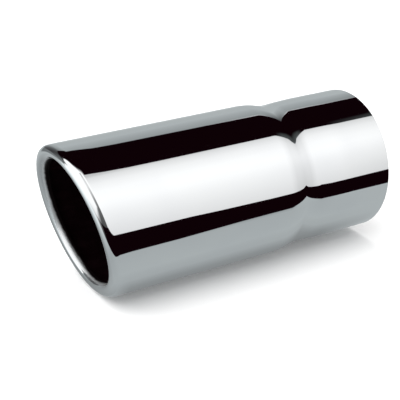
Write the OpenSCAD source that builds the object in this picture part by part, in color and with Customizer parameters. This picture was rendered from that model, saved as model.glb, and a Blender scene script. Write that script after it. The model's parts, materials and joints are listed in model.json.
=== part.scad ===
// Exhaust tip: one polished steel tube with a slanted outlet whose edge is
// rolled inwards, a plain round body, and a swaged step down to an inlet
// that slides over the tailpipe.
// The inlet's end lies in the plane X = 0, centred on the origin. The tube
// runs along -X to the outlet, and +Z is up, with the outlet's long side up.

/* [Inlet] */
// Outside diameter of the tailpipe that the inlet slides over
tailpipe_d = 70; // [40:0.5:120]
// Clearance between the tailpipe and the inlet, on the radius
fit = 0.3; // [0.1:0.05:0.5]
// Length of the straight bore, before it starts to narrow
inlet_len = 22.5; // [10:0.5:80]

/* [Step] */
// How far the body stands out from the inlet, on the radius
swage = 1.5; // [0.5:0.1:10]
// How far the valley reaches in past the tailpipe's outside, to stop it
stop = 0.4; // [0.05:0.05:1]
// Outside radius of the shoulder at the body's end of the step
shoulder_r = 36; // [25:1:60]
// Outside radius of the valley at the foot of the step
valley_r = 30; // [10:1:40]
// Outside radius of the run-out from the valley up to the inlet
runout_r = 300; // [100:5:500]

/* [Body] */
// Thickness of the steel sheet
wall = 1.2; // [0.8:0.1:1.5]
// Length on the axis, from the front of the lip to the start of the step
body_len = 98; // [60:1:200]

/* [Outlet] */
// Slant of the outlet, in degrees
slant = 12; // [0:1:20]
// Outside radius of the rolled lip
lip_r = 3.4; // [2.5:0.1:6]
// Straight edge of the sheet behind the roll
lip_edge = 1.5; // [0.5:0.5:6]

/* [Hidden] */
$fn = 180;
// Largest turn between two points of an arc of the step, in degrees
ARC_STEP = 2;
// Straight collar behind the roll, where the lip meets the tube
COLLAR = 1;
// Overlap that keeps a cut from ending flush with what it cuts
CUT = 1;

// Outside radii of the inlet, the valley and the body
inlet_r = tailpipe_d / 2 + fit + wall;
valley_depth = fit + stop;
valley_bottom_r = inlet_r - valley_depth;
body_r = inlet_r + swage;
shear = tan(slant);

// Steepest slope on each side of the valley, where two arcs meet
step_angle = acos(1 - (swage + valley_depth) / (shoulder_r + valley_r));
runout_angle = acos(1 - valley_depth / (valley_r + runout_r));

// Stations along the axis, counted from the inlet's end
valley_at = inlet_len + (runout_r + valley_r) * sin(runout_angle);
body_start = valley_at + (valley_r + shoulder_r) * sin(step_angle);
lip_at = body_start + body_len - lip_r;
joint_at = lip_at - COLLAR;
tube_end = joint_at + shear * body_r + CUT;

// Points along an arc in the plane of radius and station, without its first
function arc(centre, r, from, to) =
    let (n = ceil(abs(to - from) / ARC_STEP))
    [for (i = [1:n]) let (a = from + (to - from) * i / n) centre + r * [cos(a), sin(a)]];

// One face of the sheet from the inlet's end to past the joint, as points
// [radius, station]: the outside, or a face that lies deeper by inset
function sheet_face(inset) = concat(
    [[inlet_r - inset, 0], [inlet_r - inset, inlet_len]],
    arc([inlet_r - runout_r, inlet_len], runout_r - inset, 0, runout_angle),
    arc([valley_bottom_r + valley_r, valley_at], valley_r + inset,
        180 + runout_angle, 180 - step_angle),
    arc([body_r - shoulder_r, body_start], shoulder_r - inset, -step_angle, 0),
    [[body_r - inset, tube_end]]
);

function reversed(points) = [for (i = [len(points) - 1:-1:0]) points[i]];

// Everything on one side of the slanted plane where the lip meets the tube:
// beyond it if side is 0, and behind it if side is -1
module half_space(side) {
    size = 4 * body_r + 2 * lip_edge;
    translate([0, 0, joint_at]) rotate([0, -slant, 0])
        translate([-size / 2, -size / 2, side * size]) cube(size);
}

// Inlet, step and body, cut off at the slanted plane
module tube() {
    difference() {
        rotate_extrude() polygon(concat(sheet_face(0), reversed(sheet_face(wall))));
        half_space(0);
    }
}

// Section through the lip, with its roll starting at station 0: a half turn
// of the sheet, its free edge inside, and the collar that meets the tube
module lip_section() {
    roll_r = body_r - lip_r;
    intersection() {
        translate([roll_r, 0]) difference() {
            circle(lip_r);
            circle(lip_r - wall);
        }
        square([body_r + CUT, lip_r + CUT]);
    }
    translate([roll_r - lip_r, -lip_edge]) square([wall, lip_edge]);
    translate([body_r - wall, -COLLAR - CUT]) square([wall, COLLAR + CUT]);
}

// Rolled lip on its slant. A straight-cut lip is sheared along the axis, so
// that it stays as round as the body and every part of it moves forward by
// its own height, and the collar is cut off at the same plane as the tube.
module rolled_lip() {
    difference() {
        translate([0, 0, lip_at])
            multmatrix([[1, 0, 0, 0], [0, 1, 0, 0], [shear, 0, 1, 0], [0, 0, 0, 1]])
                rotate_extrude() lip_section();
        // The free edge reaches behind the plane and isn't cut
        difference() {
            half_space(-1);
            cylinder(h = 2 * tube_end, r = body_r - lip_r);
        }
    }
}

// The whole tip, laid along the X axis
module tip_shell() {
    color("silver") rotate([0, -90, 0]) {
        tube();
        rolled_lip();
    }
}

tip_shell();
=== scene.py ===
"""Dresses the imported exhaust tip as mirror-polished steel in a plain pale studio.

Lengths are in metres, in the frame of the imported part: the inlet's end lies in the
plane X = 0, the tube runs along -X to its outlet, and +Z is up. Stations are
distances along the tube, counted from the inlet's end.
"""

import json
import logging
import math
from collections.abc import Iterator, Sequence
from dataclasses import dataclass
from enum import Enum

import bpy
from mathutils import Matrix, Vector


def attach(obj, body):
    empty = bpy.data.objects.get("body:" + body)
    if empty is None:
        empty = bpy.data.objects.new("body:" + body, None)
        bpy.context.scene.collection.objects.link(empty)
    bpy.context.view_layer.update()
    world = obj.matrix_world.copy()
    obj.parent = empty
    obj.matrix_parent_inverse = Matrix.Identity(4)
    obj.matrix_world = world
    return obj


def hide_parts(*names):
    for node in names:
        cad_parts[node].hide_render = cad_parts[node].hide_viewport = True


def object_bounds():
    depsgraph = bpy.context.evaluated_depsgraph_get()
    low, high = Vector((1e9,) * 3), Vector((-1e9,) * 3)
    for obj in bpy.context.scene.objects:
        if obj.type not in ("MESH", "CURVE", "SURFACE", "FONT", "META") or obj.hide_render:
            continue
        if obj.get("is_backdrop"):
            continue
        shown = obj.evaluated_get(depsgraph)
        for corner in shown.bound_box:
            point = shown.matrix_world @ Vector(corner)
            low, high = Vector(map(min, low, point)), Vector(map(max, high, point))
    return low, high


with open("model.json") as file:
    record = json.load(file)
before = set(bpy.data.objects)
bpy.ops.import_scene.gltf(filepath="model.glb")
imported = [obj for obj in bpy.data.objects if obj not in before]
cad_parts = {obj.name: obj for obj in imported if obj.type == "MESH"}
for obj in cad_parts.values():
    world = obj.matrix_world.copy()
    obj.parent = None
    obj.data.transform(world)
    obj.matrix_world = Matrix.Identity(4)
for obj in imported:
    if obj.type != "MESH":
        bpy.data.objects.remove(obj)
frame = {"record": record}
CAD_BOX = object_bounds()

LOG = logging.getLogger("exhaust_tip")
SHELL_NODE = "tip_shell"
# Attribute of the shell's points: how far each lies behind the front of the lip, and
# zero all over the outside
DEPTH = "behind_lip"
MM = 0.001
# Points of the sheet's section that are this close are one point
TOUCHING = 1e-7
# Distance from the tube's axis to the tunnel of cards
TUNNEL_R = 1.0
# What a noise comes to on average
NOISE_MEAN = 0.5

Colour = tuple[float, float, float]
# Waves in each metre along X, Y and Z
Waves = tuple[float, float, float]
# Two ends of a stretch, such as where a change starts and where it is full
Span = tuple[float, float]


class Wire:
    """A shader value that takes part in Python expressions."""

    def __init__(self, graph: "Graph", socket: bpy.types.NodeSocket) -> None:
        """Keeps the graph that the socket belongs to."""
        self.graph = graph
        self.socket = socket

    def _math(self, operation: str, first: "Wire | float", second: "Wire | float") -> "Wire":
        """Adds one Math node and returns its result."""
        return self.graph.add("ShaderNodeMath", {"operation": operation}, {0: first, 1: second})

    def __add__(self, other: "Wire | float") -> "Wire":
        """Returns self + other."""
        return self._math("ADD", self, other)

    __radd__ = __add__

    def __sub__(self, other: "Wire | float") -> "Wire":
        """Returns self - other."""
        return self._math("SUBTRACT", self, other)

    def __rsub__(self, other: "Wire | float") -> "Wire":
        """Returns other - self."""
        return self._math("SUBTRACT", other, self)

    def __mul__(self, other: "Wire | float") -> "Wire":
        """Returns self * other."""
        return self._math("MULTIPLY", self, other)

    __rmul__ = __mul__


class Graph:
    """The node tree of one material or of the world."""

    def __init__(self, tree: bpy.types.NodeTree) -> None:
        """Empties the tree, which is then filled by add()."""
        self.tree = tree
        tree.nodes.clear()

    def add(
        self,
        kind: str,
        settings: dict[str, object] | None = None,
        inputs: dict[int | str, object] | None = None,
        output: int | str = 0,
    ) -> Wire:
        """Adds one node.

        Args:
            kind: The node's type.
            settings: Its settings. A ramp's stops are a list of (position, colour).
            inputs: A value or a Wire for each socket that isn't left alone.
            output: The socket that the node's result is taken from.

        Returns:
            The chosen output, or the node's first input if it has no output.
        """
        node = self.tree.nodes.new(kind)
        for name, value in (settings or {}).items():
            if name == "stops":
                self._set_stops(node.color_ramp, value)
            else:
                setattr(node, name, value)
        for name, value in (inputs or {}).items():
            if isinstance(value, Wire):
                self.tree.links.new(value.socket, node.inputs[name])
            else:
                node.inputs[name].default_value = value
        return Wire(self, node.outputs[output] if node.outputs else node.inputs[0])

    @staticmethod
    def _set_stops(ramp: bpy.types.ColorRamp, stops: Sequence[tuple[float, Colour]]) -> None:
        """Sets a ramp's stops.

        Args:
            ramp: The ramp.
            stops: The position and colour of each stop.
        """
        while len(ramp.elements) < len(stops):
            ramp.elements.new(1.0)
        for element, (position, colour) in zip(ramp.elements, stops):
            element.position = position
            element.color = (*colour, 1.0)


def new_material(name: str) -> tuple[bpy.types.Material, Graph]:
    """Makes a material with an empty node tree.

    Args:
        name: The material's name.

    Returns:
        The material and its graph.
    """
    material = bpy.data.materials.new(name)
    material.use_nodes = True
    return material, Graph(material.node_tree)


class Surface(Enum):
    """The finishes of the sheet, numbered as the mesh's material slots."""

    POLISHED = 0
    # The inside: dull steel that painted shade darkens deeper in
    SHADED_INSIDE = 1
    CUT = 2


def noise(graph: Graph, place: Wire, waves: Waves, detail: float = 2.0) -> Wire:
    """Adds a noise that can be stretched.

    Args:
        graph: The material's graph.
        place: Where on the part it is read, in metres.
        waves: Its waves in each metre.
        detail: How many finer layers it has.

    Returns:
        The noise, from 0 to 1.
    """
    stretched = graph.add("ShaderNodeMapping", None, {"Vector": place, "Scale": waves})
    return graph.add(
        "ShaderNodeTexNoise", None, {"Vector": stretched, "Scale": 1.0, "Detail": detail}, "Fac"
    )


def blend(graph: Graph, share: Wire, first: "Colour | Wire", second: "Colour | Wire") -> Wire:
    """Mixes two colours and returns the result."""
    # A Mix node takes its colours in sockets 6 and 7 and gives their mix in output 2
    ends = [end if isinstance(end, Wire) else (*end, 1.0) for end in (first, second)]
    return graph.add("ShaderNodeMix", {"data_type": "RGBA"}, {0: share, 6: ends[0], 7: ends[1]}, 2)


def smooth(graph: Graph, value: Wire, low: float, high: float) -> Wire:
    """Turns a value into a smooth step from 0 at low to 1 at high."""
    return graph.add(
        "ShaderNodeMapRange", {"interpolation_type": "SMOOTHSTEP"},
        {"Value": value, "From Min": low, "From Max": high},
    )


def steel_shader(graph: Graph, inputs: dict[int | str, object]) -> None:
    """Ends a finish's graph with its shader."""
    shader = graph.add("ShaderNodeBsdfPrincipled", None, inputs)
    graph.add("ShaderNodeOutputMaterial", None, {"Surface": shader})


@dataclass(frozen=True)
class MirrorPolish:
    """Mirror polish of the outside, with the wheel's marks and, on the lip, haze and painted
    shade.
    """

    tint: Colour = (0.62, 0.63, 0.635)
    worn_tint: Colour = (0.6, 0.61, 0.62)
    # Which part of the wheel's haze wears the tint
    worn_from: Span = (0.35, 0.75)
    roughness: float = 0.022
    # How much the fine marks round the tube and the wheel's haze add to the roughness
    marks: float = 0.022
    # Height of the slow ripples that rolling leaves in the sheet
    ripple: float = 0.012 * MM
    mark_waves: Waves = (4500.0, 70.0, 70.0)
    haze_waves: Waves = (30.0, 45.0, 45.0)
    ripple_waves: Waves = (28.0, 60.0, 60.0)
    # Depths behind the front of the lip where heat hazes it, what that adds to the
    # roughness and what it leaves of the metal's shine
    heat_from: Span = (0.5 * MM, 2.2 * MM)
    heat_roughness: float = 0.4
    heat_metallic: float = 0.86
    # Painted shade that reaches out of the dark tube on to the lip's inside, and the depths where
    # it lies
    painted_shade: Colour = (0.012, 0.006, 0.007)
    shade_from: Span = (2.15 * MM, 3.3 * MM)
    # Share by which the painted shade's edge wanders
    shade_wander: float = 0.3
    shade_waves: Waves = (500.0, 500.0, 500.0)
    # How much further forward the painted shade reaches for each metre of height
    shade_rise: float = 0.034
    # How much further forward it lies at the very bottom, and at which heights
    shade_pool: float = 1.3 * MM
    shade_pool_from: Span = (-28 * MM, -32 * MM)
    # Depth over which the painted shade comes in, so that none lies on the outside, where it is
    # zero
    clean: float = 1.0 * MM

    def material(self) -> bpy.types.Material:
        """Makes the polished steel.

        Returns:
            The material.
        """
        material, graph = new_material("polished_steel")
        place = graph.add("ShaderNodeTexCoord", None, None, "Object")
        marks = noise(graph, place, self.mark_waves, detail=3.0)
        haze = noise(graph, place, self.haze_waves)
        ripples = noise(graph, place, self.ripple_waves, detail=1.0)
        depth = graph.add("ShaderNodeAttribute", {"attribute_name": DEPTH}, None, "Fac")
        heated = smooth(graph, depth, *self.heat_from)
        steel = blend(graph, smooth(graph, haze, *self.worn_from), self.tint, self.worn_tint)
        normal = graph.add(
            "ShaderNodeBump", None, {"Strength": 1.0, "Distance": self.ripple, "Height": ripples}
        )
        # Towards the tube, the lip's colour is darkened with painted shade
        steel_shader(graph, {
            "Base Color": blend(graph, self._shaded_lip(graph, place, depth), steel, self.painted_shade),
            "Metallic": 1.0 - heated * (1.0 - self.heat_metallic),
            "Roughness": self.roughness + marks * haze * self.marks + heated * self.heat_roughness,
            "Normal": normal,
        })
        return material

    def _shaded_lip(self, graph: Graph, place: Wire, depth: Wire) -> Wire:
        """Finds where painted shade darkens the lip.

        Args:
            graph: The material's graph.
            place: Where on the part the finish is read.
            depth: How far behind the front of the lip that is.

        Returns:
            The painted shade's cover, from 0 to 1.
        """
        mottle = noise(graph, place, self.shade_waves, detail=4.0)
        height = graph.add("ShaderNodeSeparateXYZ", None, {"Vector": place}, "Z")
        pooled = smooth(graph, height, *self.shade_pool_from) * self.shade_pool
        wandering = depth * (1.0 + (mottle - NOISE_MEAN) * self.shade_wander)
        reach = wandering + height * self.shade_rise + pooled
        return smooth(graph, reach, *self.shade_from) * smooth(graph, depth, 0.0, self.clean)


@dataclass(frozen=True)
class ShadedInside:
    """Inside of the tube: near-black painted shade, which thins out to dull steel behind the lip.
    """

    painted_shade: Colour = (0.0035, 0.0005, 0.001)
    lighter_shade: Colour = (0.007, 0.0018, 0.003)
    dull: Colour = (0.22, 0.225, 0.23)
    roughness: float = 0.8
    # How much the mottle changes the roughness
    uneven: float = 0.2
    # How strongly it shines, where 0.5 is usual
    sheen: float = 0.02
    # The painted shade's depths behind the front of the lip, and how far its edge wanders
    shade_from: Span = (1.5 * MM, 4.5 * MM)
    wander: float = 3.0 * MM
    # The painted shade is lighter in blotches where the mottle, by this share, and the streaks
    # along the tube are strong
    mottle_share: float = 0.6
    lighter_from: Span = (0.42, 0.62)
    mottle_waves: Waves = (140.0, 140.0, 140.0)
    streak_waves: Waves = (25.0, 260.0, 260.0)

    def material(self) -> bpy.types.Material:
        """Makes the inside's dull steel and painted shade.

        Returns:
            The material.
        """
        material, graph = new_material("shaded_inside_steel")
        place = graph.add("ShaderNodeTexCoord", None, None, "Object")
        depth = graph.add("ShaderNodeAttribute", {"attribute_name": DEPTH}, None, "Fac")
        mottle = noise(graph, place, self.mottle_waves, detail=5.0)
        streaks = noise(graph, place, self.streak_waves, detail=3.0)
        blotches = mottle * self.mottle_share + streaks * (1.0 - self.mottle_share)
        # Deeper in, the inside is painted near-black as shade, a little lighter in blotches
        mottled_shade = blend(graph, smooth(graph, blotches, *self.lighter_from), self.painted_shade, self.lighter_shade)
        change = mottle - NOISE_MEAN
        cover = smooth(graph, depth + change * self.wander, *self.shade_from)
        steel_shader(graph, {
            "Base Color": blend(graph, cover, self.dull, mottled_shade),
            "Metallic": 0.0,
            "Roughness": self.roughness + change * self.uneven,
            "Specular IOR Level": self.sheen,
        })
        return material


@dataclass(frozen=True)
class CutSteel:
    """Bare cut edge of the sheet, with fine marks from the cutting tool."""

    tint: Colour = (0.5, 0.505, 0.51)
    dark_tint: Colour = (0.36, 0.365, 0.37)
    roughness: float = 0.24
    # How much the tool's marks add to the roughness, and which of them are dark
    marks: float = 0.15
    dark_from: Span = (0.35, 0.7)
    mark_waves: Waves = (300.0, 1400.0, 1400.0)

    def material(self) -> bpy.types.Material:
        """Makes the cut steel.

        Returns:
            The material.
        """
        material, graph = new_material("cut_steel")
        place = graph.add("ShaderNodeTexCoord", None, None, "Object")
        marks = noise(graph, place, self.mark_waves, detail=3.0)
        dark = smooth(graph, marks, *self.dark_from)
        steel_shader(graph, {
            "Base Color": blend(graph, dark, self.tint, self.dark_tint),
            "Metallic": 1.0,
            "Roughness": self.roughness + marks * self.marks,
        })
        return material


@dataclass(frozen=True)
class SectionPoint:
    """One point of the sheet's section, which becomes a ring of the mesh."""

    radius: float
    station: float
    # Direction that the surface faces: away from the axis, and towards the outlet
    out: float
    ahead: float
    surface: Surface
    # Share of the outlet's slant that the ring follows
    lean: float = 0.0

    def touches(self, other: "SectionPoint") -> bool:
        """Tells whether two points are in the same place."""
        apart = math.hypot(self.radius - other.radius, self.station - other.station)
        return apart < TOUCHING


@dataclass
class SheetSection:
    """Section through the sheet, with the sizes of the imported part."""

    inlet_bore_r: float
    inlet_len: float
    wall: float = 1.2 * MM
    swage: float = 1.5 * MM
    valley_depth: float = 0.7 * MM
    shoulder_r: float = 36 * MM
    valley_r: float = 30 * MM
    runout_r: float = 300 * MM
    body_len: float = 98 * MM
    lip_r: float = 3.4 * MM
    lip_edge: float = 1.5 * MM
    # Wider arc that eases the body into the roll, and how far it turns, in degrees
    ease_r: float = 12 * MM
    ease_deg: float = 10.0
    # Rounding of the sheet's cut edges
    edge_r: float = 0.2 * MM
    # Largest turn between two rings, in degrees: on the roll, the step, the wider arc,
    # the roll's inside and the cut edges
    roll_step: float = 3.75
    fine_step: float = 0.75
    ease_step: float = 1.25
    inner_step: float = 7.5
    edge_step: float = 30.0
    # Rings along the plain body
    body_rings: int = 12

    def __post_init__(self) -> None:
        """Works out the radii and stations that follow from the sizes."""
        self.inlet_r = self.inlet_bore_r + self.wall
        self.body_r = self.inlet_r + self.swage
        self.valley_bottom_r = self.inlet_r - self.valley_depth
        drop = self.body_r - self.valley_bottom_r
        self.step_angle = math.acos(1 - drop / (self.shoulder_r + self.valley_r))
        reach = self.runout_r + self.valley_r
        self.runout_angle = math.acos(1 - self.valley_depth / reach)
        self.valley_at = self.inlet_len + reach * math.sin(self.runout_angle)
        run = (self.valley_r + self.shoulder_r) * math.sin(self.step_angle)
        self.body_start = self.valley_at + run
        self.front = self.body_start + self.body_len
        self.lip_at = self.front - self.lip_r
        self.ease_angle = math.radians(self.ease_deg)
        spare = self.ease_r - self.lip_r
        self.eased_at = self.lip_at - spare * math.sin(self.ease_angle)
        self.roll_r = self.body_r - self.ease_r + spare * math.cos(self.ease_angle)

    def _arc(
        self,
        centre: tuple[float, float],
        radius: float,
        start: float,
        end: float,
        side: int,
        surface: Surface,
        turn_step: float,
        lean: float = 0.0,
    ) -> Iterator[SectionPoint]:
        """Follows an arc of the section.

        Args:
            centre: The arc's centre, as radius and station.
            radius: The arc's own radius.
            start: The angle that it starts at, in radians. Zero is away from the axis.
            end: The angle that it ends at.
            side: 1 if the surface faces away from the centre, or -1 if towards it.
            surface: The finish.
            turn_step: Largest turn between two points, in degrees.
            lean: Share of the outlet's slant.

        Yields:
            The points, with both ends.
        """
        count = max(2, math.ceil(abs(end - start) / math.radians(turn_step)))
        for i in range(count + 1):
            angle = start + (end - start) * i / count
            c, s = math.cos(angle), math.sin(angle)
            yield SectionPoint(
                centre[0] + radius * c, centre[1] + radius * s, side * c, side * s, surface, lean
            )

    def _face(self, inset: float, surface: Surface) -> list[SectionPoint]:
        """Follows one face of the sheet, from the inlet to the lip.

        Args:
            inset: Depth of the face below the outside.
            surface: The finish.

        Returns:
            The points along it.
        """
        side = 1 if inset == 0 else -1
        points = [SectionPoint(self.inlet_r - inset, self.edge_r, side, 0, surface)]
        runout = (self.inlet_r - self.runout_r, self.inlet_len)
        points += self._arc(
            runout, self.runout_r - inset, 0, self.runout_angle, side, surface, self.fine_step
        )
        valley = (self.valley_bottom_r + self.valley_r, self.valley_at)
        points += self._arc(
            valley, self.valley_r + inset, math.pi + self.runout_angle,
            math.pi - self.step_angle, -side, surface, self.fine_step,
        )
        shoulder = (self.body_r - self.shoulder_r, self.body_start)
        points += self._arc(
            shoulder, self.shoulder_r - inset, -self.step_angle, 0, side, surface, self.fine_step
        )
        for i in range(1, self.body_rings):
            share = i / self.body_rings
            station = self.body_start + (self.eased_at - self.body_start) * share
            points.append(SectionPoint(self.body_r - inset, station, side, 0, surface, share))
        ease = (self.body_r - self.ease_r, self.eased_at)
        points += self._arc(
            ease, self.ease_r - inset, 0, self.ease_angle, side, surface, self.ease_step, 1.0
        )
        return points

    def _edge(
        self, inner_r: float, station: float, surface: Surface, lean: float = 0.0
    ) -> Iterator[SectionPoint]:
        """Follows an edge of the sheet that faces the inlet, with its two rounded corners.

        Args:
            inner_r: Radius of the sheet's inner face.
            station: Where the edge lies.
            surface: The finish.
            lean: Share of the outlet's slant.

        Yields:
            The points of the inner corner and of the outer one.
        """
        quarter = math.pi / 2
        corners = ((inner_r + self.edge_r, 2), (inner_r + self.wall - self.edge_r, 3))
        for radius, turned in corners:
            yield from self._arc(
                (radius, station + self.edge_r), self.edge_r, turned * quarter,
                (turned + 1) * quarter, 1, surface, self.edge_step, lean,
            )

    def points(self) -> list[SectionPoint]:
        """Follows the whole section, as a closed loop.

        Returns:
            Its points, without the ones that repeat where two stretches meet.
        """
        roll = (self.roll_r, self.lip_at)
        polished, shaded_face = Surface.POLISHED, Surface.SHADED_INSIDE
        loop = self._face(0, polished)
        loop += self._arc(
            roll, self.lip_r, self.ease_angle, math.pi, 1, polished, self.roll_step, 1.0
        )
        loop += self._edge(self.roll_r - self.lip_r, self.lip_at - self.lip_edge, shaded_face, 1.0)
        loop += self._arc(
            roll, self.lip_r - self.wall, math.pi, self.ease_angle, -1, shaded_face,
            self.inner_step, 1.0,
        )
        loop += reversed(self._face(self.wall, shaded_face))
        loop += self._edge(self.inlet_bore_r, 0.0, Surface.CUT)
        return self._without_repeats(loop)

    @staticmethod
    def _without_repeats(loop: list[SectionPoint]) -> list[SectionPoint]:
        """Drops each point that lies on the one before it.

        Args:
            loop: The points of a closed loop.

        Returns:
            The points that are left, each with the finish of the first in its place.
        """
        kept: list[SectionPoint] = []
        for point in loop:
            if not kept or not point.touches(kept[-1]):
                kept.append(point)
        if kept[0].touches(kept[-1]):
            kept.pop()
        return kept


@dataclass
class TipShell:
    """The tube: inlet, step, body and rolled lip, in one sheet."""

    section: SheetSection
    slant_deg: float = 12.0
    around: int = 240

    def build(self) -> bpy.types.Object:
        """Builds the shell as one closed mesh.

        Returns:
            The shell's object.
        """
        shear = math.tan(math.radians(self.slant_deg))
        loop = self.section.points()
        places: list[Vector] = []
        normals: list[Vector] = []
        depths: list[float] = []
        for point in loop:
            for i in range(self.around):
                angle = 2 * math.pi * i / self.around
                side, up = -math.sin(angle), math.cos(angle)
                height = point.radius * up
                station = point.station + point.lean * shear * height
                places.append(Vector((-station, point.radius * side, height)))
                outside = point.surface == Surface.POLISHED and point.out > 0
                depths.append(0.0 if outside else self.section.front + shear * height - station)
                facing = Vector((
                    -point.ahead,
                    point.out * side,
                    point.out * up - point.lean * shear * point.ahead,
                ))
                normals.append(facing.normalized())
        faces, surfaces = self._faces(loop)
        mesh = bpy.data.meshes.new("tip_shell_polished")
        mesh.from_pydata(places, [], faces)
        for _ in Surface:
            mesh.materials.append(None)
        mesh.polygons.foreach_set("material_index", surfaces)
        mesh.polygons.foreach_set("use_smooth", [True] * len(faces))
        mesh.normals_split_custom_set_from_vertices(normals)
        mesh.attributes.new(DEPTH, "FLOAT", "POINT").data.foreach_set("value", depths)
        shell = bpy.data.objects.new("tip_shell_polished", mesh)
        bpy.context.scene.collection.objects.link(shell)
        return shell

    def _faces(self, loop: list[SectionPoint]) -> tuple[list[tuple[int, ...]], list[int]]:
        """Joins each ring to the next.

        Args:
            loop: The section's points.

        Returns:
            The faces and the number of each one's finish.
        """
        faces: list[tuple[int, ...]] = []
        surfaces: list[int] = []
        for ring, point in enumerate(loop):
            following = (ring + 1) % len(loop)
            surface = self._between(point, loop[following])
            here, there = ring * self.around, following * self.around
            for i in range(self.around):
                j = (i + 1) % self.around
                faces.append((here + i, there + i, there + j, here + j))
                surfaces.append(surface.value)
        return faces, surfaces

    @staticmethod
    def _between(point: SectionPoint, following: SectionPoint) -> Surface:
        """Picks a face's finish, which is that of its first ring unless this is a cut edge."""
        return following.surface if point.surface == Surface.CUT else point.surface

    def dress(self, shell: bpy.types.Object) -> None:
        """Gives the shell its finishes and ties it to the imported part.

        Args:
            shell: The shell's object.
        """
        shell.data.materials[Surface.POLISHED.value] = MirrorPolish().material()
        shell.data.materials[Surface.SHADED_INSIDE.value] = ShadedInside().material()
        shell.data.materials[Surface.CUT.value] = CutSteel().material()
        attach(shell, "root")
        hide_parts(SHELL_NODE)


class Shape(Enum):
    """The surface that a card lies in."""

    # Round the tube, a metre from its axis: a place on it is X and an angle, which is
    # zero straight up and 90 towards the viewer's side
    TUNNEL = "tunnel"
    # Just over the floor: a place on it is X and Y
    FLOOR = "floor"


class Along(Enum):
    """The way that a card's brightness or cover changes."""

    # From the start of its sides to their end
    SIDES = "sides"
    # From its outlet side to its inlet side
    ACROSS = "across"


Stops = tuple[tuple[float, float], ...]
Side = tuple[tuple[float, float], tuple[float, float]]

# Tints of the lights and cards, and of the black flags
NEUTRAL: Colour = (1.0, 1.0, 1.0)
COOL: Colour = (0.93, 1.0, 1.015)
WARM: Colour = (1.0, 0.14, 0.4)


@dataclass(frozen=True)
class Fade:
    """A value that changes over a card, as (share of the way, value) stops."""

    along: Along
    stops: Stops

    def wire(self, graph: Graph, tint: Colour = NEUTRAL, scale: float = 1.0) -> Wire:
        """Adds the fade to a card's material.

        Args:
            graph: The material's graph.
            tint: Colour that the value is multiplied by.
            scale: Number that the value is divided by.

        Returns:
            The faded colour.
        """
        share = graph.add("ShaderNodeAttribute", {"attribute_name": self.along.value}, None, "Fac")
        stops = [(at, tuple(value * part / scale for part in tint)) for at, value in self.stops]
        return graph.add("ShaderNodeValToRGB", {"stops": stops}, {"Fac": share})


# The little light that a black flag gives back
BLACK = Fade(Along.SIDES, ((0.0, 0.004), (1.0, 0.004)))


@dataclass(frozen=True)
class Card:
    """A glowing card or a black flag of the studio, which shows only in the polish.

    It spans sides, from the one nearest the outlet to the one nearest the inlet. Each
    side is a pair of places: where it starts and ends.
    """

    name: str
    shape: Shape
    sides: tuple[Side, ...]
    # Brightness, as the polish shows it
    glow: Fade = BLACK
    # How much it hides what is behind it, as fades that are multiplied
    cover: tuple[Fade, ...] = ()
    tint: Colour = WARM
    # Distance in front of the shape's own surface
    lift: float = 0.0
    # Faces from the start of the sides to their end, and between two sides
    steps_down: int = 48
    steps_over: int = 6

    def build(self, floor_z: float, polish: float) -> None:
        """Builds the card.

        Args:
            floor_z: Height of the floor.
            polish: Share of the light that the polish mirrors.
        """
        mesh = bpy.data.meshes.new(self.name)
        places: list[tuple[float, float, float]] = []
        shares: dict[Along, list[float]] = {way: [] for way in Along}
        spans = len(self.sides) - 1
        columns = spans * self.steps_over
        for i in range(self.steps_down + 1):
            for j in range(columns + 1):
                down, over = i / self.steps_down, j / columns
                places.append(self._place(down, over * spans, floor_z))
                shares[Along.SIDES].append(down)
                shares[Along.ACROSS].append(over)
        row = columns + 1
        faces = [
            (i * row + j, i * row + j + 1, (i + 1) * row + j + 1, (i + 1) * row + j)
            for i in range(self.steps_down)
            for j in range(columns)
        ]
        mesh.from_pydata(places, [], faces)
        for way, values in shares.items():
            mesh.attributes.new(way.value, "FLOAT", "POINT").data.foreach_set("value", values)
        mesh.materials.append(self._material(polish))
        card = bpy.data.objects.new(self.name, mesh)
        bpy.context.scene.collection.objects.link(card)
        show_only_in_reflections(card)
        card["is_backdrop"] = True

    def _place(self, down: float, over: float, floor_z: float) -> tuple[float, float, float]:
        """Finds a point of the card.

        Args:
            down: Share of the way from the start of the sides to their end.
            over: Number of sides passed, with the share of the way to the next.
            floor_z: Height of the floor.

        Returns:
            The point.
        """
        first = min(int(over), len(self.sides) - 2)
        share = over - first
        near, far = (
            [start[k] + down * (end[k] - start[k]) for k in range(2)]
            for start, end in self.sides[first:first + 2]
        )
        x, at = (near[k] + share * (far[k] - near[k]) for k in range(2))
        if self.shape == Shape.FLOOR:
            return x, at, floor_z + self.lift
        radius, angle = TUNNEL_R - self.lift, math.radians(at)
        return x, -radius * math.sin(angle), radius * math.cos(angle)

    def _material(self, polish: float) -> bpy.types.Material:
        """Makes the card's material, a glow that hides what is behind it by its cover.

        Args:
            polish: Share of the light that the polish mirrors.

        Returns:
            The material.
        """
        material, graph = new_material(self.name)
        peak = max(value for _, value in self.glow.stops) * max(self.tint)
        colour = self.glow.wire(graph, self.tint, peak)
        glow = graph.add("ShaderNodeEmission", None, {"Color": colour, "Strength": peak / polish})
        shader = glow
        if self.cover:
            cover = self.cover[0].wire(graph)
            for fade in self.cover[1:]:
                cover = cover * fade.wire(graph)
            clear = graph.add("ShaderNodeBsdfTransparent")
            shader = graph.add("ShaderNodeMixShader", None, {0: cover, 1: clear, 2: glow})
        graph.add("ShaderNodeOutputMaterial", None, {"Surface": shader})
        return material


def show_only_in_reflections(card: bpy.types.Object) -> None:
    """Hides a card from the camera and from the light on the floor."""
    card.visible_camera = False
    card.visible_diffuse = False
    card.visible_shadow = False
    card.visible_transmission = False
    card.visible_volume_scatter = False
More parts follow.
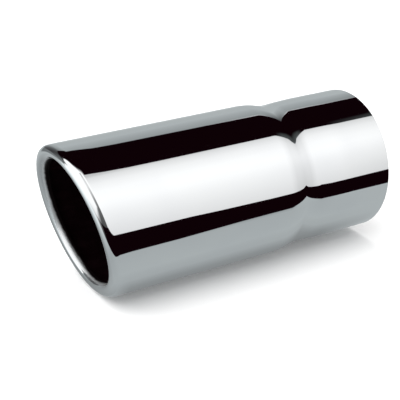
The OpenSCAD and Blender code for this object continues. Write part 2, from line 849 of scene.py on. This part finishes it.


# The tunnel of cards and flags, and what the polish shows of the floor, with painted shade and
# shadow near the tip
CARDS = (
    Card(
        "front_light", Shape.TUNNEL,
        (((-30.0, 0.0), (-30.0, 150.0)), ((4.0, 0.0), (4.0, 150.0))),
        glow=Fade(Along.SIDES, (
            (0.0, 0.5), (0.033, 0.58), (0.053, 0.74), (0.12, 0.9), (0.2, 1.0), (0.27, 1.03),
            (0.33, 1.0), (0.42, 0.91), (0.55, 0.8), (0.65, 0.72), (1.0, 0.6),
        )),
        tint=NEUTRAL,
    ),
    Card(
        "outlet_light", Shape.TUNNEL,
        (((-30.0, -125.0), (-30.0, 75.0)), ((0.15, -125.0), (0.15, 75.0))),
        glow=Fade(Along.SIDES, ((0.0, 1.02), (1.0, 1.02))),
        cover=(Fade(Along.SIDES, ((0.0, 1.0), (0.8, 1.0), (1.0, 0.0))),),
        tint=NEUTRAL, lift=0.005,
    ),
    Card(
        "back_card", Shape.TUNNEL,
        (((-1.35, -125.0), (-1.35, -43.0)), ((4.0, -125.0), (4.0, -43.0))),
        glow=Fade(Along.SIDES, ((0.0, 0.3), (0.35, 0.35), (0.7, 0.41), (1.0, 0.29))),
        tint=COOL, lift=0.01,
    ),
    Card(
        "back_flag_outlet", Shape.TUNNEL,
        (
            ((-1.35, -125.0), (-1.35, -43.0)), ((-0.6, -125.0), (-0.6, -43.0)),
            ((0.2, -125.0), (0.2, -43.0)),
        ),
        cover=(Fade(Along.ACROSS, (
            (0.0, 0.5), (0.3, 0.75), (0.5, 0.9), (0.72, 0.75), (0.85, 0.45), (0.92, 0.25),
            (1.0, 0.0),
        )),),
        lift=0.015,
    ),
    Card(
        "back_flag_inlet", Shape.TUNNEL,
        (
            ((0.65, -64.0), (0.65, -42.0)), ((1.1, -70.0), (1.1, -42.0)),
            ((4.0, -75.0), (4.0, -42.0)),
        ),
        cover=(
            Fade(Along.SIDES, ((0.0, 0.0), (0.8, 0.85), (1.0, 0.95))),
            Fade(Along.ACROSS, ((0.0, 0.0), (0.5, 0.85), (1.0, 1.0))),
        ),
        lift=0.015,
    ),
    Card(
        "top_flag_outlet", Shape.TUNNEL,
        (
            ((-1.2, -53.0), (-1.2, -48.0)), ((-0.85, -53.0), (-0.85, -40.0)),
            ((-0.6, -53.0), (-0.6, -34.0)), ((-0.26, -53.0), (-0.26, -20.0)),
            ((-0.05, -53.0), (-0.05, -9.0)), ((0.05, -53.0), (0.05, 0.0)),
            ((0.22, -53.0), (0.22, 4.0)),
        ),
        cover=(
            Fade(Along.ACROSS, ((0.0, 0.0), (0.17, 0.6), (0.33, 1.0), (1.0, 1.0))),
            Fade(Along.SIDES, ((0.0, 1.0), (0.8, 1.0), (1.0, 0.0))),
        ),
        lift=0.02,
    ),
    Card(
        "top_flag", Shape.TUNNEL,
        (
            ((0.2, -52.5), (0.2, 0.0)), ((0.23, -51.0), (0.235, 1.5)),
            ((0.26, -46.0), (0.26, 3.0)), ((0.295, -44.5), (0.295, 4.3)),
            ((0.36, -43.8), (0.345, 4.9)), ((0.45, -42.9), (0.5, 5.5)),
            ((0.54, -41.8), (0.9, 6.2)), ((0.9, -43.0), (1.12, 6.4)),
            ((1.3, -43.0), (1.35, 10.0)), ((4.0, -43.0), (4.0, 12.0)),
        ),
        lift=0.025,
    ),
    Card(
        "notch_card", Shape.TUNNEL,
        (
            ((0.6, -1.0), (0.6, 5.7)), ((0.9, -5.0), (0.9, 6.4)), ((1.12, -8.0), (1.12, 6.6)),
            ((1.35, -9.0), (1.35, 10.0)), ((1.8, -11.0), (1.8, 10.5)),
        ),
        glow=Fade(Along.SIDES, ((0.0, 0.02), (0.5, 0.05), (0.8, 0.065), (1.0, 0.12))),
        cover=(
            Fade(Along.SIDES, ((0.0, 0.0), (0.3, 0.8), (0.5, 1.0), (1.0, 1.0))),
            Fade(Along.ACROSS, ((0.0, 0.0), (0.2, 1.0), (1.0, 1.0))),
        ),
        tint=COOL, lift=0.03,
    ),
    Card(
        "far_flag", Shape.TUNNEL,
        (((0.6, 0.0), (0.6, 102.0)), ((0.95, 0.0), (0.95, 102.0)), ((4.0, 0.0), (4.0, 102.0))),
        cover=(Fade(Along.ACROSS, ((0.0, 0.0), (0.5, 0.12), (1.0, 0.2))),), lift=0.012,
    ),
    Card(
        "gap_flag_top", Shape.TUNNEL,
        (((-0.05, 0.0), (-0.3, 55.0)), ((0.05, 0.0), (0.02, 55.0))),
        glow=Fade(Along.SIDES, ((0.0, 0.15), (1.0, 0.15))),
        cover=(
            Fade(Along.ACROSS, ((0.0, 0.0), (0.5, 0.8), (0.7, 1.0), (0.93, 1.0), (1.0, 0.0))),
            Fade(Along.SIDES, ((0.0, 0.7), (0.15, 0.45), (0.4, 0.35), (0.8, 0.9), (1.0, 1.0))),
        ),
        tint=NEUTRAL, lift=0.02,
    ),
    Card(
        "gap_flag", Shape.TUNNEL,
        (((-0.35, 55.0), (-1.9, 90.0)), ((0.02, 55.0), (0.03, 90.0))),
        glow=Fade(Along.SIDES, ((0.0, 0.15), (0.4, 0.1), (0.85, 0.07), (1.0, 0.03))),
        cover=(
            Fade(Along.ACROSS, ((0.0, 0.0), (0.3, 0.55), (0.55, 1.0), (0.97, 1.0), (1.0, 0.0))),
        ),
        tint=NEUTRAL, lift=0.02,
    ),
    Card(
        "table_flag", Shape.TUNNEL,
        (
            ((-4.0, 89.0), (-4.0, 150.0)), ((-1.0, 89.0), (-1.0, 150.0)),
            ((0.0, 82.0), (0.0, 150.0)), ((0.03, 82.5), (0.03, 150.0)),
            ((0.06, 86.5), (0.06, 150.0)), ((0.1, 89.0), (0.1, 150.0)),
            ((0.17, 91.0), (0.17, 150.0)), ((0.26, 92.8), (0.26, 150.0)),
            ((0.37, 93.6), (0.37, 150.0)), ((0.42, 95.2), (0.42, 150.0)),
            ((0.515, 97.2), (0.515, 150.0)), ((0.75, 99.0), (0.75, 150.0)),
            ((1.3, 103.0), (1.3, 150.0)), ((30.0, 103.0), (30.0, 150.0)),
        ),
        cover=(
            Fade(Along.ACROSS, ((0.0, 0.0), (0.038, 0.2), (0.06, 0.75), (0.077, 1.0), (1.0, 1.0))),
        ),
        lift=0.03,
    ),
    # The floor as the polish shows it, with painted shade that darkens it near the tip
    Card(
        "shaded_floor_card", Shape.FLOOR,
        (
            ((-3.0, -0.086), (-3.0, 2.0)), ((-0.4, -0.086), (-0.4, 2.0)),
            ((-0.3, -0.086), (-0.3, 2.0)), ((-0.25, -0.086), (-0.25, 2.0)),
            ((-0.19, -0.086), (-0.19, 2.0)),
            ((-0.145, -0.087), (-0.145, 2.0)), ((-0.118, -0.0943), (-0.118, 2.0)),
            ((-0.09, -0.0943), (-0.09, 2.0)), ((-0.045, -0.0995), (-0.045, 2.0)),
            ((0.0, -0.1), (0.0, 2.0)), ((0.045, -0.092), (0.045, 2.0)), ((0.5, -0.06), (0.5, 2.0)),
        ),
        glow=Fade(Along.ACROSS, (
            (0.0, 1.0), (0.09, 0.88), (0.18, 0.74), (0.27, 0.55), (0.36, 0.37), (0.46, 0.42),
            (1.0, 0.42),
        )),
        tint=COOL, lift=0.0002,
    ),
    Card(
        "back_floor_flag", Shape.FLOOR,
        (
            ((-1.2, 0.97), (-1.2, 2.5)), ((-0.66, 0.5), (-0.66, 2.5)),
            ((-0.36, 0.22), (-0.36, 2.5)), ((-0.24, 0.13), (-0.24, 2.5)),
            ((-0.19, 0.16), (-0.19, 2.5)),
        ),
        glow=Fade(Along.SIDES, ((0.0, 0.1), (1.0, 0.1))),
        cover=(
            Fade(Along.SIDES, ((0.0, 0.0), (0.03, 0.9), (1.0, 1.0))),
            Fade(Along.ACROSS, ((0.0, 0.0), (0.25, 1.0), (0.9, 1.0), (1.0, 0.0))),
        ),
        tint=COOL, lift=0.0003,
    ),
    # Painted contact shadow under the body, on the floor as the polish shows it
    Card(
        "contact_shadow_flag", Shape.FLOOR,
        (((-0.16, -0.1), (-0.16, 0.1)), ((0.02, -0.1), (0.02, 0.1))),
        cover=(
            Fade(Along.SIDES, (
                (0.0, 0.25), (0.06, 0.05), (0.27, 0.0), (0.33, 0.1), (0.38, 0.4), (0.45, 0.65),
                (1.0, 0.3),
            )),
            Fade(Along.ACROSS, ((0.0, 0.0), (0.12, 1.0), (0.75, 1.0), (1.0, 0.0))),
        ),
        lift=0.0004,
    ),
    # Painted shade on the floor under the outlet, as the polish shows it
    Card(
        "mouth_shade_flag", Shape.FLOOR,
        (
            ((-0.22, -0.03), (-0.22, 0.14)), ((-0.18, -0.03), (-0.18, 0.14)),
            ((-0.15, -0.03), (-0.15, 0.14)),
        ),
        cover=(
            Fade(Along.SIDES, ((0.0, 0.0), (0.25, 0.35), (0.6, 0.3), (1.0, 0.0))),
            Fade(Along.ACROSS, ((0.0, 0.0), (0.5, 1.0), (1.0, 1.0))),
        ),
        lift=0.0006,
    ),
)


@dataclass(frozen=True)
class Studio:
    """White backdrop, pale floor, soft lamp and the cards that the polish mirrors."""

    floor_z: float
    floor_half: float = 4.0
    floor_tint: float = 0.9
    # Glow of the floor round the tip and far from it, and the distances from the origin
    # between which it changes
    floor_lift: float = 0.07
    far_lift: float = 0.35
    lift_from: Span = (0.4, 1.6)
    # Strength of the backdrop where it lights the floor, and where it is seen
    ambient: float = 0.8
    backdrop: float = 1.0
    lamp_size: tuple[float, float] = (2.6, 3.0)
    lamp_at: tuple[float, float, float] = (-1.0, 0.2, 1.3)
    lamp_watts: float = 50.0
    # Share of the light that the polish mirrors
    polish: float = 0.63

    def build(self) -> None:
        """Builds the floor, the lamp, the world and the cards."""
        self._world()
        self._floor()
        self._lamp()
        for card in CARDS:
            card.build(self.floor_z, self.polish)
        LOG.info("studio: %d cards", len(CARDS))

    def _world(self) -> None:
        """Sets a white backdrop, which lights the floor a little less than it shows."""
        world = bpy.data.worlds.new("studio")
        bpy.context.scene.world = world
        world.use_nodes = True
        graph = Graph(world.node_tree)
        seen = (
            graph.add("ShaderNodeLightPath", None, None, "Is Camera Ray")
            + graph.add("ShaderNodeLightPath", None, None, "Is Glossy Ray")
            + graph.add("ShaderNodeLightPath", None, None, "Is Transmission Ray")
        )
        strength = seen * (self.backdrop - self.ambient) + self.ambient
        background = graph.add(
            "ShaderNodeBackground", None, {"Color": (*NEUTRAL, 1.0), "Strength": strength}
        )
        graph.add("ShaderNodeOutputWorld", None, {"Surface": background})

    def _floor(self) -> None:
        """Lays the floor, which the cards stand in for where the polish mirrors it."""
        material, graph = new_material("floor")
        tint = (self.floor_tint, self.floor_tint, self.floor_tint, 1.0)
        paint = graph.add("ShaderNodeBsdfDiffuse", None, {"Color": tint})
        place = graph.add("ShaderNodeTexCoord", None, None, "Object")
        away = graph.add("ShaderNodeVectorMath", {"operation": "LENGTH"}, {0: place}, "Value")
        far = smooth(graph, away, *self.lift_from)
        strength = self.floor_lift + far * (self.far_lift - self.floor_lift)
        lift = graph.add("ShaderNodeEmission", None, {"Strength": strength})
        both = graph.add("ShaderNodeAddShader", None, {0: paint, 1: lift})
        graph.add("ShaderNodeOutputMaterial", None, {"Surface": both})
        mesh = bpy.data.meshes.new("floor")
        half, z = self.floor_half, self.floor_z
        corners = [(-half, -half, z), (half, -half, z), (half, half, z), (-half, half, z)]
        mesh.from_pydata(corners, [], [(0, 1, 2, 3)])
        mesh.materials.append(material)
        floor = bpy.data.objects.new("floor", mesh)
        floor.visible_glossy = False
        bpy.context.scene.collection.objects.link(floor)
        floor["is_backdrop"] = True

    def _lamp(self) -> None:
        """Hangs one large soft lamp overhead, most of it past the outlet."""
        data = bpy.data.lights.new("soft_lamp", "AREA")
        data.shape = "RECTANGLE"
        data.size, data.size_y = self.lamp_size
        data.energy = self.lamp_watts
        lamp = bpy.data.objects.new("soft_lamp", data)
        lamp.location = self.lamp_at
        lamp.visible_glossy = False
        lamp.visible_camera = False
        bpy.context.scene.collection.objects.link(lamp)


@dataclass(frozen=True)
class Viewpoint:
    """The camera, which looks at a point of the tip from a direction."""

    target: tuple[float, float, float] = (-89.7 * MM, 0.0, -4.26 * MM)
    azimuth_deg: float = 31.17
    elevation_deg: float = 24.10
    distance: float = 525.6 * MM
    # Focal length, in the camera's own millimetres
    lens: float = 95.45
    # Nearest and furthest that it sees
    clip: Span = (0.01, 20.0)

    def build(self) -> None:
        """Makes the scene's camera."""
        azimuth, elevation = math.radians(self.azimuth_deg), math.radians(self.elevation_deg)
        back = Vector((
            -math.sin(azimuth) * math.cos(elevation),
            -math.cos(azimuth) * math.cos(elevation),
            math.sin(elevation),
        ))
        data = bpy.data.cameras.new("camera")
        data.lens = self.lens
        data.clip_start, data.clip_end = self.clip
        camera = bpy.data.objects.new("camera", data)
        camera.location = Vector(self.target) + back * self.distance
        camera.rotation_mode = "QUATERNION"
        camera.rotation_quaternion = (-back).to_track_quat("-Z", "Y")
        bpy.context.scene.collection.objects.link(camera)
        bpy.context.scene.camera = camera


def measured_section() -> SheetSection:
    """Takes the section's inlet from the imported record.

    Returns:
        The section.
    """
    inlet = frame["record"]["mounts"][0]["dims"]
    return SheetSection(inlet["r_mm"] * MM, inlet["length_mm"] * MM)


def write_sizes() -> None:
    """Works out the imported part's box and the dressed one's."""
    boxes = {
        name: [list(corner) for corner in box]
        for name, box in (("cad", CAD_BOX), ("visual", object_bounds()))
    }


def main() -> None:
    """Builds the tip, the studio and the camera."""
    logging.basicConfig(level=logging.INFO, format="%(message)s")
    bpy.context.scene.view_settings.view_transform = "Standard"
    Viewpoint().build()
    tip = TipShell(measured_section())
    shell = tip.build()
    tip.dress(shell)
    Studio(CAD_BOX[0].z).build()
    LOG.info("%s: %d faces", shell.name, len(shell.data.polygons))
    write_sizes()


if __name__ == "__main__":
    main()
